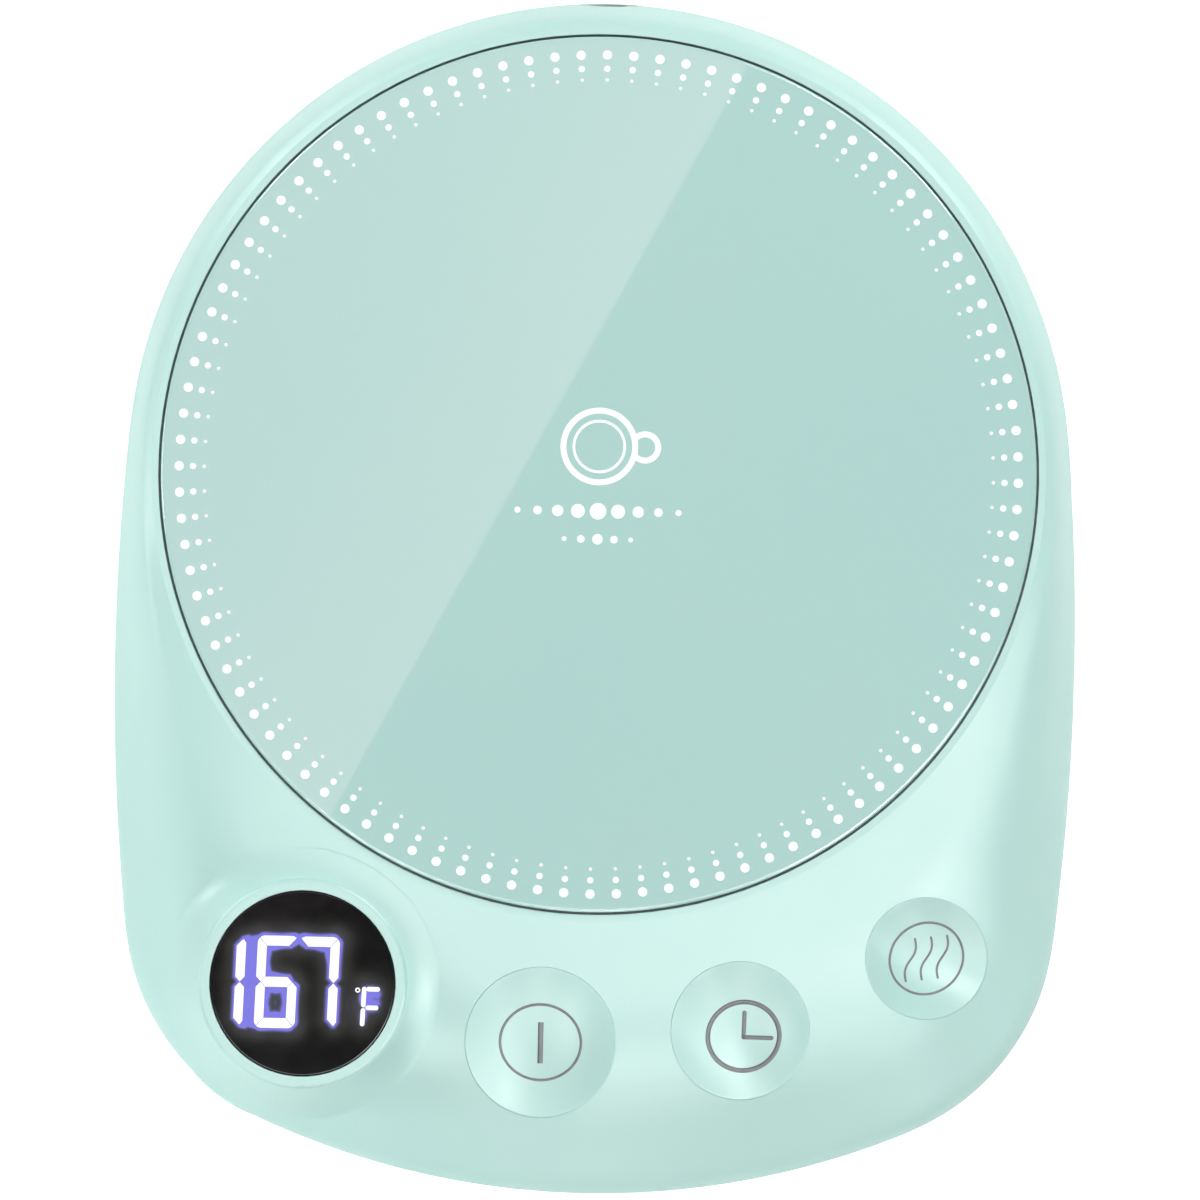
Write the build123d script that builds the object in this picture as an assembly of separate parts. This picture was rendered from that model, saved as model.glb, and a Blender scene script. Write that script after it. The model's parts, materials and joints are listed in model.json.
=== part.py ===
from build123d import *
import math
import os

os.makedirs("parts", exist_ok=True)

# Electric mug warmer. Sizes are in millimetres. Places are measured from the axis of the
# hot plate: +X to the right, +Y to the rear, +Z up from the table. Each finished piece is
# moved at the end so that the origin lies under the middle of the whole warmer.

# Walls and general clearances
side_wall = 2.0
top_wall = 2.0
part_gap = 0.3
fit_gap = 0.15
shaft_gap = 0.03
edge_ease = 0.3

# Heights, stacked up from the table
cover_bottom = 1.5
cover_thickness = 2.0
board_stand = 2.0
board_thickness = 1.6
part_room = 7.5
bracket_thickness = 1.0
pad_thickness = 3.0
element_thickness = 1.2
spreader_thickness = 1.0
glass_thickness = 3.2
glass_stands_out = 0.5
shell_bottom = cover_bottom + cover_thickness
board_bottom = shell_bottom + board_stand
board_top = board_bottom + board_thickness
bracket_bottom = board_top + part_room
bracket_top = bracket_bottom + bracket_thickness
pad_top = bracket_top + pad_thickness
element_top = pad_top + element_thickness
seal_top = element_top + spreader_thickness
plate_top = seal_top + glass_thickness
lip_height = plate_top - glass_stands_out

# Glass plate, its gasket and its seat
glass_radius = 50.0
glass_edge_round = 0.35
gasket_thickness = 0.4
gasket_wall = 0.24
gasket_gap = 0.03
gasket_drop = 0.25
seat_width = 3.8
seat_thickness = 2.0
seat_wall = 1.55
lip_width = 0.8
seat_top = seal_top - gasket_thickness
seat_inner_radius = glass_radius - seat_width
opening_radius = glass_radius + gasket_wall + 2 * gasket_gap
lip_radius = opening_radius + lip_width

# Plan outline: four kinds of arc, each tangent to the next
rear_shoulder = 2.9
side_swell = 1.0
side_radius = 274.0
corner_radius = 27.0
front_radius = 92.5
front_run = 31.2
rear_radius = lip_radius + rear_shoulder
half_width = rear_radius + side_swell
front_reach = lip_radius + front_run
middle_offset = (front_reach - rear_radius) / 2

# Fall of the deck along the middle line, measured outwards from the lip
deck_run = 16.8
deck_drop = 1.7
deck_bend_radius = 26.0
edge_height = 7.4
edge_bend_radius = 6.0

# Heater stack under the glass
spreader_radius = seat_inner_radius - 0.6
element_radius = spreader_radius - 5.6
element_hole_radius = 8.0
terminal_radius = 1.0
terminal_spread = 5.0
terminal_place = element_radius - 5.0
pad_radius = element_radius + 2.0
pad_hole_radius = 6.0
bracket_hub_radius = 14.0
bracket_arm_width = 7.0
bracket_reach = rear_radius - 6.0
bracket_boss_radius = 2.7
bracket_screw_length = 3.7
bracket_arm_angles = (45, 135, 225, 315)
bracket_hole_top = bracket_bottom + bracket_screw_length + part_gap
sensor_radius = 2.6
sensor_flange_radius = 4.6
sensor_flange_thickness = 1.0
thermal_fuse_radius = 1.9
thermal_fuse_length = 12.0
thermal_fuse_y = 10.5
clip_width = 5.0
clip_wall = 0.8

# Round display on its raised boss
ring_radius = 12.0
ring_round = 0.45
ring_width = 1.42
ring_below_plate = 0.1
display_from_side = 10.4
display_from_front = 11.5
flare_width = 3.9
flare_under_edge = 1.5
flare_rise = 1.0
lens_thickness = 1.5
lens_sink = 0.35
lens_gap = 0.08
window_ledge_width = 1.18
window_ledge = 1.2
tube_wall = 1.7
module_height = 6.45
module_gap = 0.2
display_board_thickness = 1.2
display_screw_place = 5.5
stand_inset = 0.9
stand_wall = 1.5
display_x = display_from_side + ring_radius - half_width
display_y = display_from_front + ring_radius - front_reach
display_top = plate_top - ring_below_plate
flare_radius = ring_radius + flare_width
flare_bottom = shell_bottom + flare_rise
flare_foot = edge_height - flare_under_edge
flare_top = lip_height - part_gap / 2
lens_radius = ring_radius - ring_width
lens_top = display_top - lens_sink
ledge_top = lens_top - lens_thickness
ledge_bottom = ledge_top - window_ledge
window_radius = lens_radius - window_ledge_width
tube_inner_radius = ring_radius - tube_wall
display_board_top = ledge_bottom - module_height
display_board_bottom = display_board_top - display_board_thickness
stand_radius = tube_inner_radius - stand_inset

# Push buttons: name, centre and cap radius
buttons = {
    "power": (-5.3, 17.3 - front_reach, 8.6),
    "timer": (17.5, 19.1 - front_reach, 7.9),
    "heat": (half_width - 16.4, 27.8 - front_reach, 6.95),
}
button_travel = 0.5
cap_gap = 0.06
cap_wall = 1.2
cap_roof = 1.4
dish_depth = 3.0
skirt_rise = 0.7
ear_thickness = 1.0
ear_reach = 1.1
ear_width = 4.0
ear_root = 0.6
collar_wall = 1.3
stem_radius = 2.0
plunger_radius = 1.75
plunger_gap = 0.05
switch_width = 6.0
switch_height = 3.1
bore_floor = 0.8
plunger_bottom = board_top + bore_floor + button_travel + part_gap
plunger_top = board_top + switch_height + button_travel + part_gap
cap_bottom = plunger_top + skirt_rise
collar_bottom = cap_bottom + ear_thickness + part_gap
bore_bottom = cap_bottom - button_travel - part_gap

# Boards on the bottom cover
board_inset = 5.5
control_board_rear = 1.5 - glass_radius
power_board_width = 62.0
power_board_rear = 29.0
power_board_front = -21.0
board_post_radius = 2.6
small_screw_radius = 1.0
small_screw_head_radius = 1.9
small_screw_head = 1.2
board_screw_length = 4.6
control_posts = (
    (9.0 - half_width, control_board_rear - 4.0),
    (half_width - 9.0, control_board_rear - 4.0),
    (-16.0, 12.3 - front_reach),
    (28.0, 13.3 - front_reach),
)
power_post_inset = 4.0

# Parts on the power board: width, depth, height and centre
block_sizes = {
    "terminal_block": (16.0, 8.0, 5.6, 0.0, -15.0),
    "mains_terminal": (12.0, 8.0, 5.6, -14.0, 23.0),
    "film_capacitor": (16.0, 7.0, 5.2, 16.0, 20.0),
    "triac": (10.0, 15.0, 4.4, -18.0, -4.0),
    "mains_fuse": (14.0, 5.0, 4.6, -17.0, 10.5),
}
capacitor_radius = 2.6
capacitor_length = 12.0
capacitor_x = 18.0
capacitor_y = 3.0
link_x = 17.0
link_width = 10.0
link_side = 0.5
link_thickness = 0.8
header_depth = 4.0
header_height = 3.0
chip_size = 7.0
chip_height = 1.5
chip_x = -13.0
chip_y = control_board_rear - 7.5
pin_spread = 2.54
pin_offset = 5.0
pin_width = 0.7
pin_rows = 4

# Wires from the terminal block to the element
wire_radius = 0.85
wire_bend_radius = 3.2
wire_rise = 2.5
wire_climb = 4.0
wire_height = board_top + wire_rise
terminal_bottom = wire_height + wire_climb

# Bottom cover, its screws and the feet
cover_inset = 0.6
rim_height = 2.0
rim_wall = 1.4
post_radius = 3.1
tower_radius = 4.0
tower_height = 2.6
cover_screw_places = (
    (27.0 - half_width, rear_radius - 16.0),
    (half_width - 27.0, rear_radius - 16.0),
    (9.0 - half_width, 12.1 - lip_radius),
    (half_width - 9.0, 12.1 - lip_radius),
)
cover_screw_radius = 1.15
cover_screw_hole_radius = 1.5
cover_screw_head_radius = 2.4
cover_screw_head = 1.6
cover_screw_head_depth = 2.6
cover_screw_length = 9.0
cross_width = 0.6
cross_depth = 0.8
foot_places = {
    "foot_front_left": (17.0 - half_width, 21.3 - front_reach),
    "foot_front_right": (half_width - 17.0, 21.3 - front_reach),
    "foot_rear_left": (22.0 - half_width, rear_radius - 26.0),
    "foot_rear_right": (half_width - 22.0, rear_radius - 26.0),
}
foot_radius = 5.0
foot_recess = 0.6
foot_round = 0.5

# Cord outlet in the rear wall
cord_bore_radius = 2.2
grommet_wall = 1.2
grommet_flange_width = 1.0
grommet_flange = 1.2
grommet_sink = 0.1
grommet_seat = 1.4
grommet_gap = 0.05
flange_lift = 0.4
clamp_width = 18.0
clamp_depth = 4.8
clamp_roof = 1.4
clamp_distance = 1.4
clamp_screw_side = 4.2
clamp_screw_length = 6.0
grommet_radius = cord_bore_radius + grommet_wall
grommet_flange_radius = grommet_radius + grommet_flange_width
cord_height = shell_bottom + flange_lift + grommet_flange_radius
flange_front = rear_radius - side_wall - grommet_seat
clamp_y = flange_front - grommet_flange - clamp_distance - clamp_depth / 2
clamp_top = cord_height + cord_bore_radius + clamp_roof
clamp_screw_place = cord_bore_radius + clamp_screw_side

# How finely the free-form surfaces are laid out
loop_points = 60
loft_steps = 20
height_steps = 400
dish_steps = 10


def tangent_arcs():
    """Centres and radii of the arcs on the right-hand side, with the bearing where each ends."""
    side_y = -math.sqrt((side_radius - rear_radius) ** 2 - (side_radius - half_width) ** 2)
    side = Vector(half_width - side_radius, side_y)
    front = Vector(0, front_radius - front_reach)
    # the corner's centre is as far from both neighbours as tangency asks
    to_front = front - side
    apart = to_front.length
    reach_side = side_radius - corner_radius
    reach_front = front_radius - corner_radius
    along = (reach_side ** 2 - reach_front ** 2 + apart ** 2) / (2 * apart)
    across = math.sqrt(reach_side ** 2 - along ** 2)
    way = to_front.normalized()
    corner = side + way * along + Vector(way.Y, -way.X) * across
    ends = (
        side * (-rear_radius / side.length),
        corner + (corner - side).normalized() * corner_radius,
        corner + (corner - front).normalized() * corner_radius,
        Vector(0, -front_reach),
    )
    centres = (Vector(0, 0), side, corner, front)
    radii = (rear_radius, side_radius, corner_radius, front_radius)
    bearings = [math.atan2(abs(end.X), end.Y) for end in ends]
    return list(zip(bearings, centres, radii))


arcs = tangent_arcs()


def edge_distance(angle):
    """Distance from the plate's axis to the outline, in the direction of an angle from +X."""
    across = abs(math.cos(angle))
    along = math.sin(angle)
    bearing = math.atan2(across, along)
    for end, centre, radius in arcs:
        if bearing <= end + 1e-9:
            break
    nearest = across * centre.X + along * centre.Y
    return nearest + math.sqrt(nearest ** 2 + radius ** 2 - centre.X ** 2 - centre.Y ** 2)


def form_loop(share, height, inset=0.0):
    """Closed curve that passes from the lip (share 0) to the outline (share 1)."""
    points = []
    for step in range(loop_points):
        angle = 2 * math.pi * step / loop_points
        reach = lip_radius * (1 - share) + edge_distance(angle) * share - inset
        points.append((reach * math.cos(angle), reach * math.sin(angle), height))
    return Wire([Edge.make_spline(points, periodic=True)])


def outline_block(inset, bottom, top):
    """Upright block with the warmer's plan, moved in by an inset."""
    face = Face(form_loop(1.0, bottom, inset))
    return Solid.extrude(face, Vector(0, 0, top - bottom))


# Fall of the deck in the middle plane: out from the lip, over the bend and down the front
deck_line = FilletPolyline(
    (0, lip_height),
    (deck_run, lip_height - deck_drop),
    (front_run, edge_height),
    (front_run, shell_bottom),
    radius=[deck_bend_radius, edge_bend_radius],
)
fall = [deck_line @ (step / height_steps) for step in range(height_steps + 1)]


def deck_height(x, y):
    """Height of the shell's outer surface over a place in plan."""
    reach = math.hypot(x, y)
    share = (reach - lip_radius) / (edge_distance(math.atan2(y, x)) - lip_radius)
    out = max(share, 0) * front_run
    for before, after in zip(fall, fall[1:]):
        if before.X <= out < after.X:
            part = (out - before.X) / (after.X - before.X)
            return before.Y + part * (after.Y - before.Y)
    return shell_bottom


def form_body(inset, drop):
    """Outer form of the shell, or the same form moved in and down for its hollow."""
    loops = []
    for step in range(loft_steps + 1):
        point = deck_line @ (step / loft_steps)
        loops.append(form_loop(point.X / front_run, point.Y - drop, inset))
    return Solid.make_loft(loops)


def rod(radius, bottom, top, x=0.0, y=0.0):
    """Upright cylinder between two heights."""
    base = (Align.CENTER, Align.CENTER, Align.MIN)
    return Pos(x, y, bottom) * Cylinder(radius, top - bottom, align=base)


def block(width, depth, bottom, top, x=0.0, y=0.0):
    """Upright box between two heights."""
    base = (Align.CENTER, Align.CENTER, Align.MIN)
    return Pos(x, y, bottom) * Box(width, depth, top - bottom, align=base)


def ring(outer, inner, bottom, top, x=0.0, y=0.0):
    """Upright tube between two heights."""
    return rod(outer, bottom, top, x, y) - rod(inner, bottom, top, x, y)


def lying_disc(radius, front, rear):
    """Cylinder on the cord's line, between two places in Y."""
    return Pos(0, (front + rear) / 2, cord_height) * Cylinder(radius, rear - front, rotation=(90, 0, 0))


def display_boss():
    """Raised ring for the display, turned in one with the concave foot that carries it."""
    pull = (ring_radius + flare_width / 2, flare_foot)
    foot = Bezier((ring_radius, flare_top), pull, (flare_radius, flare_foot))
    rest = Polyline(
        (flare_radius, flare_foot),
        (flare_radius, flare_bottom),
        (0, flare_bottom),
        (0, display_top),
        (ring_radius, display_top),
        (ring_radius, flare_top),
    )
    turned = revolve(Plane.XZ * make_face(foot + rest), Axis.Z)
    turned = fillet(turned.edges().group_by(Axis.Z)[-1], ring_round)
    return Pos(display_x, display_y, 0) * turned


def above_dish(x, y, radius, sink=0.0):
    """Everything over a round dish that follows the deck and is deepest in its middle."""
    reach = radius + cap_wall
    rows = []
    for row in range(dish_steps + 1):
        along = y + reach * (2 * row / dish_steps - 1)
        points = []
        for step in range(dish_steps + 1):
            across = x + reach * (2 * step / dish_steps - 1)
            off = math.hypot(across - x, along - y) / radius
            height = deck_height(across, along) - dish_depth * (1 - off ** 2)
            points.append((across, along, height - sink))
        rows.append(points)
    face = Face.make_surface_from_array_of_points(rows, tol=0.002, min_deg=3, max_deg=5)
    return Solid.extrude(face, Vector(0, 0, plate_top))


def button_turn(x, y):
    """Turn that points a button's ears along the rim of the plate."""
    return math.degrees(math.atan2(y, x)) + 90


def button_cap(x, y, radius):
    """Dished cap with a skirt, a stem and two ears that keep it in its bore."""
    cap = rod(radius, cap_bottom, plate_top, x, y) - above_dish(x, y, radius)
    hollow = rod(radius - cap_wall, cap_bottom, plate_top, x, y) - above_dish(x, y, radius, cap_roof)
    cap = cap - (hollow - rod(stem_radius, plunger_top, plate_top, x, y))
    ears = block(2 * (radius + ear_reach), ear_width, cap_bottom, cap_bottom + ear_thickness)
    ears = ears - rod(radius - ear_root, cap_bottom, collar_bottom)
    cap = cap + Pos(x, y, 0) * (Rot(0, 0, button_turn(x, y)) * ears)
    return cap + rod(stem_radius, plunger_top, cap_bottom + ear_thickness, x, y)


def switch_plunger(x, y):
    """Plunger of a button's switch."""
    return rod(plunger_radius, plunger_bottom, plunger_top, x, y)


def switch_housing(x, y):
    """Square switch on the control board, bored for its plunger."""
    body = block(switch_width, switch_width, board_top, board_top + switch_height, x, y)
    bore = rod(plunger_radius + plunger_gap, board_top + bore_floor, plate_top, x, y)
    return body - bore


def polar(radius, degrees):
    """Place in plan from a radius and a direction."""
    return radius * math.cos(math.radians(degrees)), radius * math.sin(math.radians(degrees))


def bracket_places():
    """Where the heater bracket is screwed to the shell."""
    return [polar(bracket_reach, angle) for angle in bracket_arm_angles]


def shell_hollow():
    """Space inside the shell, less the seat, collars and posts that stand in it."""
    hollow = form_body(side_wall, top_wall)
    hollow = hollow - rod(opening_radius + seat_wall, seat_top - seat_thickness, plate_top)
    hollow = hollow - rod(ring_radius, display_board_bottom, plate_top, display_x, display_y)
    for x, y, radius in buttons.values():
        hollow = hollow - rod(radius + cap_gap + collar_wall, collar_bottom, plate_top, x, y)
    for x, y in cover_screw_places:
        hollow = hollow - rod(post_radius, shell_bottom + tower_height, plate_top, x, y)
    for x, y in bracket_places():
        hollow = hollow - rod(bracket_boss_radius, bracket_top, plate_top, x, y)
    return hollow


def top_shell():
    """Moulded upper casing: wall, deck, display boss, plate seat, collars and screw posts."""
    shell = form_body(0.0, 0.0) + display_boss() - shell_hollow()
    shell = shell - rod(opening_radius, seat_top, plate_top)
    shell = shell - rod(seat_inner_radius, seat_top - seat_thickness, plate_top)
    shell = shell - rod(lens_radius + lens_gap, ledge_top, plate_top, display_x, display_y)
    shell = shell - rod(window_radius, ledge_bottom, plate_top, display_x, display_y)
    shell = shell - rod(tube_inner_radius, board_top, ledge_bottom, display_x, display_y)
    for x, y, radius in buttons.values():
        shell = shell - rod(radius + cap_gap, bore_bottom, plate_top, x, y)
    for x, y in cover_screw_places:
        depth = shell_bottom + tower_height + cover_screw_length
        shell = shell - rod(cover_screw_radius + shaft_gap, shell_bottom, depth, x, y)
    for x, y in bracket_places():
        shell = shell - rod(small_screw_radius + shaft_gap, bracket_top, bracket_hole_top, x, y)
    shell = shell - outline_block(side_wall, shell_bottom, shell_bottom + rim_height + part_gap)
    inside = flange_front - side_wall
    shell = shell - lying_disc(grommet_radius + grommet_gap, inside, rear_radius + side_wall)
    return shell - lying_disc(grommet_flange_radius + part_gap, inside, flange_front)


def glass_plate():
    """Round glass top that the mug stands on."""
    plate = rod(glass_radius, seal_top, plate_top)
    return fillet(plate.edges().group_by(Axis.Z)[-1], glass_edge_round)


def plate_seal():
    """Dark gasket under the glass and round its edge."""
    floor = ring(opening_radius - gasket_gap, seat_inner_radius, seat_top, seal_top)
    wall = ring(opening_radius - gasket_gap, glass_radius + gasket_gap, seat_top, lip_height - gasket_drop)
    return floor + wall


def heat_spreader():
    """Metal disc against the underside of the glass."""
    return rod(spreader_radius, element_top, seal_top)


def heating_element():
    """Flat ring element with two terminals on its underside."""
    element = ring(element_radius, element_hole_radius, pad_top, element_top)
    for side in (-1, 1):
        element = element + rod(terminal_radius, terminal_bottom, element_top,
                                side * terminal_spread, -terminal_place)
    return element


def insulation_pad():
    """Heat-proof pad under the element."""
    pad = ring(pad_radius, pad_hole_radius, bracket_top, pad_top)
    for side in (-1, 1):
        pad = pad - rod(terminal_radius + part_gap, bracket_top, pad_top,
                        side * terminal_spread, -terminal_place)
    return pad


def heater_bracket():
    """Four-armed steel plate that presses the heater stack up to the glass."""
    plate = rod(bracket_hub_radius, bracket_bottom, bracket_top)
    for angle in bracket_arm_angles[:2]:
        arm = block(2 * bracket_reach, bracket_arm_width, bracket_bottom, bracket_top)
        plate = plate + Rot(0, 0, angle) * arm
    for x, y in bracket_places():
        plate = plate + rod(bracket_boss_radius, bracket_bottom, bracket_top, x, y)
        plate = plate - rod(small_screw_radius + fit_gap, bracket_bottom, bracket_top, x, y)
    return plate - rod(sensor_radius + fit_gap, bracket_bottom, bracket_top)


def screw_up(x, y, seat, length):
    """Pan-head screw driven upwards, with its head under a seat."""
    head = rod(small_screw_head_radius, seat - small_screw_head, seat, x, y)
    return head + rod(small_screw_radius, seat - small_screw_head, seat + length, x, y)


def screw_down(x, y, seat, length):
    """Pan-head screw driven downwards, with its head on a seat."""
    head = rod(small_screw_head_radius, seat, seat + small_screw_head, x, y)
    return head + rod(small_screw_radius, seat - length, seat + small_screw_head, x, y)


def temperature_sensor():
    """Cased sensor that reaches up through the pad to the heat spreader."""
    flange = rod(sensor_flange_radius, bracket_bottom - sensor_flange_thickness, bracket_bottom)
    return flange + rod(sensor_radius, bracket_bottom, element_top)


def lying_rod(radius, length, x, y, z):
    """Cylinder lying along X."""
    return Pos(x, y, z) * Cylinder(radius, length, rotation=(0, 90, 0))


def thermal_fuse():
    """Thermal cut-out under the bracket's hub."""
    return lying_rod(thermal_fuse_radius, thermal_fuse_length, 0, thermal_fuse_y,
                     bracket_bottom - thermal_fuse_radius)


def fuse_clip():
    """Saddle that holds the thermal cut-out to the bracket."""
    width = 2 * (thermal_fuse_radius + clip_wall)
    drop = 2 * thermal_fuse_radius + clip_wall
    middle = bracket_bottom - thermal_fuse_radius
    saddle = block(clip_width, width, bracket_bottom - drop, bracket_bottom, 0, thermal_fuse_y)
    groove = lying_rod(thermal_fuse_radius, clip_width, 0, thermal_fuse_y, middle)
    mouth = block(clip_width, 2 * thermal_fuse_radius, middle, bracket_bottom, 0, thermal_fuse_y)
    return saddle - groove - mouth


def display_lens():
    """Dark round window over the digits."""
    return rod(lens_radius, ledge_top, lens_top, display_x, display_y)


def display_screw_spots():
    """Places of the two screws that hold the display board to its module."""
    return [(display_x + side * display_screw_place, display_y) for side in (-1, 1)]


def display_module():
    """Light box with the digits, standing in the tube behind the window."""
    drum = rod(tube_inner_radius - module_gap, display_board_top, ledge_bottom, display_x, display_y)
    for x, y in display_screw_spots():
        drum = drum - rod(small_screw_radius + shaft_gap, display_board_top,
                          display_board_top + board_screw_length, x, y)
    return drum


def display_board():
    """Small round board under the digits."""
    board = rod(tube_inner_radius - module_gap, display_board_bottom, display_board_top, display_x, display_y)
    for x, y in display_screw_spots():
        board = board - rod(small_screw_radius + fit_gap, display_board_bottom, display_board_top, x, y)
    return board


def display_stand():
    """Spacer ring that carries the display board on the control board."""
    return ring(stand_radius, stand_radius - stand_wall, board_top, display_board_bottom,
                display_x, display_y)


def display_pins():
    """Row of pins that joins the display board to the control board."""
    pins = []
    for step in range(pin_rows):
        x = display_x + (step - (pin_rows - 1) / 2) * pin_spread
        pins.append(block(pin_width, pin_width, board_top, display_board_bottom, x, display_y + pin_offset))
    return Compound(children=pins)


def control_board():
    """Board under the buttons, cut to the shape of the casing's front."""
    board = outline_block(board_inset, board_bottom, board_top)
    board = board & block(2 * half_width, front_reach, board_bottom, board_top,
                          0, control_board_rear - front_reach / 2)
    for x, y in control_posts:
        board = board - rod(small_screw_radius + fit_gap, board_bottom, board_top, x, y)
    return board


def power_posts():
    """Corners where the power board is screwed down."""
    reach = power_board_width / 2 - power_post_inset
    ends = (power_board_front + power_post_inset, power_board_rear - power_post_inset)
    return [(side * reach, y) for side in (-1, 1) for y in ends]


def power_board():
    """Board under the heater that feeds and switches it."""
    middle = (power_board_rear + power_board_front) / 2
    depth = power_board_rear - power_board_front
    board = block(power_board_width, depth, board_bottom, board_top, 0, middle)
    for x, y in power_posts():
        board = board - rod(small_screw_radius + fit_gap, board_bottom, board_top, x, y)
    return board


def board_block(width, depth, height, x, y):
    """Box-shaped part standing on a board."""
    return chamfered(block(width, depth, board_top, board_top + height, x, y))


def chamfered(solid):
    """Box with its top edges eased."""
    return chamfer(solid.edges().group_by(Axis.Z)[-1], edge_ease)


def smoothing_capacitor():
    """Round capacitor lying on the power board."""
    return lying_rod(capacitor_radius, capacitor_length, capacitor_x, capacitor_y,
                     board_top + capacitor_radius)


def link_ends():
    """The two places in Y where the link cable's headers stand."""
    return power_board_front + header_depth / 2, control_board_rear - header_depth / 2


def link_header(y):
    """Header block for the link cable."""
    return board_block(link_width, header_depth, header_height, link_x, y)


def link_cable():
    """Flat cable between the two boards."""
    rear, front = link_ends()
    length = rear - front - header_depth
    middle = board_top + header_height / 2
    return block(link_width - 2 * link_side, length, middle - link_thickness / 2, middle + link_thickness / 2,
                 link_x, (rear + front) / 2)


def heater_wires():
    """Two wires from the terminal block up to the element."""
    _, depth, _, _, y = block_sizes["terminal_block"]
    start = y - depth / 2
    wires = []
    for side in (-1, 1):
        x = side * terminal_spread
        route = FilletPolyline(
            (x, start, wire_height),
            (x, -terminal_place, wire_height),
            (x, -terminal_place, terminal_bottom),
            radius=wire_bend_radius,
        )
        section = Plane(origin=route @ 0, z_dir=route % 0) * Circle(wire_radius)
        wires.append(sweep(section, path=route))
    return Compound(children=wires)


def bottom_cover():
    """Moulded base with a rim, screw towers, board posts and foot recesses."""
    plate = outline_block(cover_inset, cover_bottom, shell_bottom)
    plate = plate - foot_cuts()
    rim = outline_block(side_wall + fit_gap, shell_bottom, shell_bottom + rim_height)
    rim = rim - outline_block(side_wall + fit_gap + rim_wall, shell_bottom, shell_bottom + rim_height)
    # the rim stops short of the cord bush's flange
    rim = rim - block(2 * (grommet_flange_radius + part_gap), 2 * side_wall + rim_wall, shell_bottom,
                      shell_bottom + rim_height, 0, rear_radius - side_wall)
    cover = plate + rim
    tower_top = shell_bottom + tower_height
    for x, y in cover_screw_places:
        cover = cover + rod(tower_radius, shell_bottom, tower_top, x, y)
        cover = cover - rod(cover_screw_hole_radius, cover_bottom, tower_top, x, y)
        cover = cover - rod(cover_screw_head_radius + part_gap, cover_bottom,
                            cover_bottom + cover_screw_head_depth, x, y)
    for x, y in list(control_posts) + power_posts():
        cover = cover + rod(board_post_radius, shell_bottom, board_bottom, x, y)
        cover = cover - rod(small_screw_radius + shaft_gap, board_top - board_screw_length,
                            board_bottom, x, y)
    return cover + clamp_base()


def foot_cuts():
    """Shallow recesses for the feet."""
    cuts = [rod(foot_radius + fit_gap, cover_bottom, cover_bottom + foot_recess, x, y)
            for x, y in foot_places.values()]
    return Compound(children=cuts)


def foot(x, y):
    """Rubber foot seated in the base."""
    pad = rod(foot_radius, 0, cover_bottom + foot_recess, x, y)
    return fillet(pad.edges().group_by(Axis.Z)[0], foot_round)


def cover_screw(x, y):
    """Screw sunk in the cover from below and driven into a post of the shell."""
    seat = cover_bottom + cover_screw_head_depth
    bottom = seat - cover_screw_head
    head = rod(cover_screw_head_radius, bottom, seat, x, y)
    shank = rod(cover_screw_radius, bottom, seat + cover_screw_length, x, y)
    slot = block(cover_screw_radius * 2, cross_width, bottom, bottom + cross_depth, x, y)
    cross_slot = block(cross_width, cover_screw_radius * 2, bottom, bottom + cross_depth, x, y)
    return head + shank - slot - cross_slot


def cord_grommet():
    """Bush in the rear wall for the mains cord, its outer end shaped like the wall."""
    body = lying_disc(grommet_radius, flange_front, rear_radius) & form_body(grommet_sink, grommet_sink)
    flange = lying_disc(grommet_flange_radius, flange_front - grommet_flange, flange_front)
    return body + flange - lying_disc(cord_bore_radius, flange_front - grommet_flange, rear_radius)


def cord_groove():
    """Cylinder along the cord's line where it is clamped."""
    return lying_disc(cord_bore_radius, clamp_y - clamp_depth, clamp_y + clamp_depth)


def clamp_base():
    """Block of the cover that the cord is clamped on."""
    base = block(clamp_width, clamp_depth, shell_bottom, cord_height - part_gap, 0, clamp_y)
    base = base - cord_groove()
    for side in (-1, 1):
        base = base - rod(small_screw_radius + shaft_gap, clamp_top - clamp_screw_length,
                          cord_height, side * clamp_screw_place, clamp_y)
    return base


def cord_clamp():
    """Strap that holds the cord down on its block."""
    strap = block(clamp_width, clamp_depth, cord_height - part_gap, clamp_top, 0, clamp_y)
    strap = strap - cord_groove()
    for side in (-1, 1):
        strap = strap - rod(small_screw_radius + fit_gap, cord_height - part_gap, clamp_top,
                            side * clamp_screw_place, clamp_y)
    return strap


def save(name, shape):
    """Write one piece, moved so that the origin lies under the middle of the warmer."""
    moved = Pos(0, middle_offset, 0) * shape
    solids = moved.solids()
    piece = solids[0] if len(solids) == 1 else Compound(children=solids)
    piece.label = name
    export_step(piece, f"parts/{name}.step")


save("top_shell", top_shell())
save("bottom_cover", bottom_cover())
save("glass_plate", glass_plate())
save("plate_seal", plate_seal())
save("heat_spreader", heat_spreader())
save("heating_element", heating_element())
save("insulation_pad", insulation_pad())
save("heater_bracket", heater_bracket())
save("bracket_screws", Compound(children=[
    screw_up(x, y, bracket_bottom, bracket_screw_length) for x, y in bracket_places()]))
save("temperature_sensor", temperature_sensor())
save("thermal_fuse", thermal_fuse())
save("fuse_clip", fuse_clip())
save("display_lens", display_lens())
save("display_module", display_module())
save("display_board", display_board())
save("display_stand", display_stand())
save("display_pins", display_pins())
save("display_screws", Compound(children=[
    screw_up(x, y, display_board_bottom, board_screw_length)
    for x, y in display_screw_spots()]))
for name, (x, y, radius) in buttons.items():
    save(f"{name}_button", button_cap(x, y, radius))
    save(f"{name}_plunger", switch_plunger(x, y))
    save(f"{name}_switch", switch_housing(x, y))
save("control_board", control_board())
save("control_board_screws", Compound(children=[
    screw_down(x, y, board_top, board_screw_length) for x, y in control_posts]))
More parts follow.
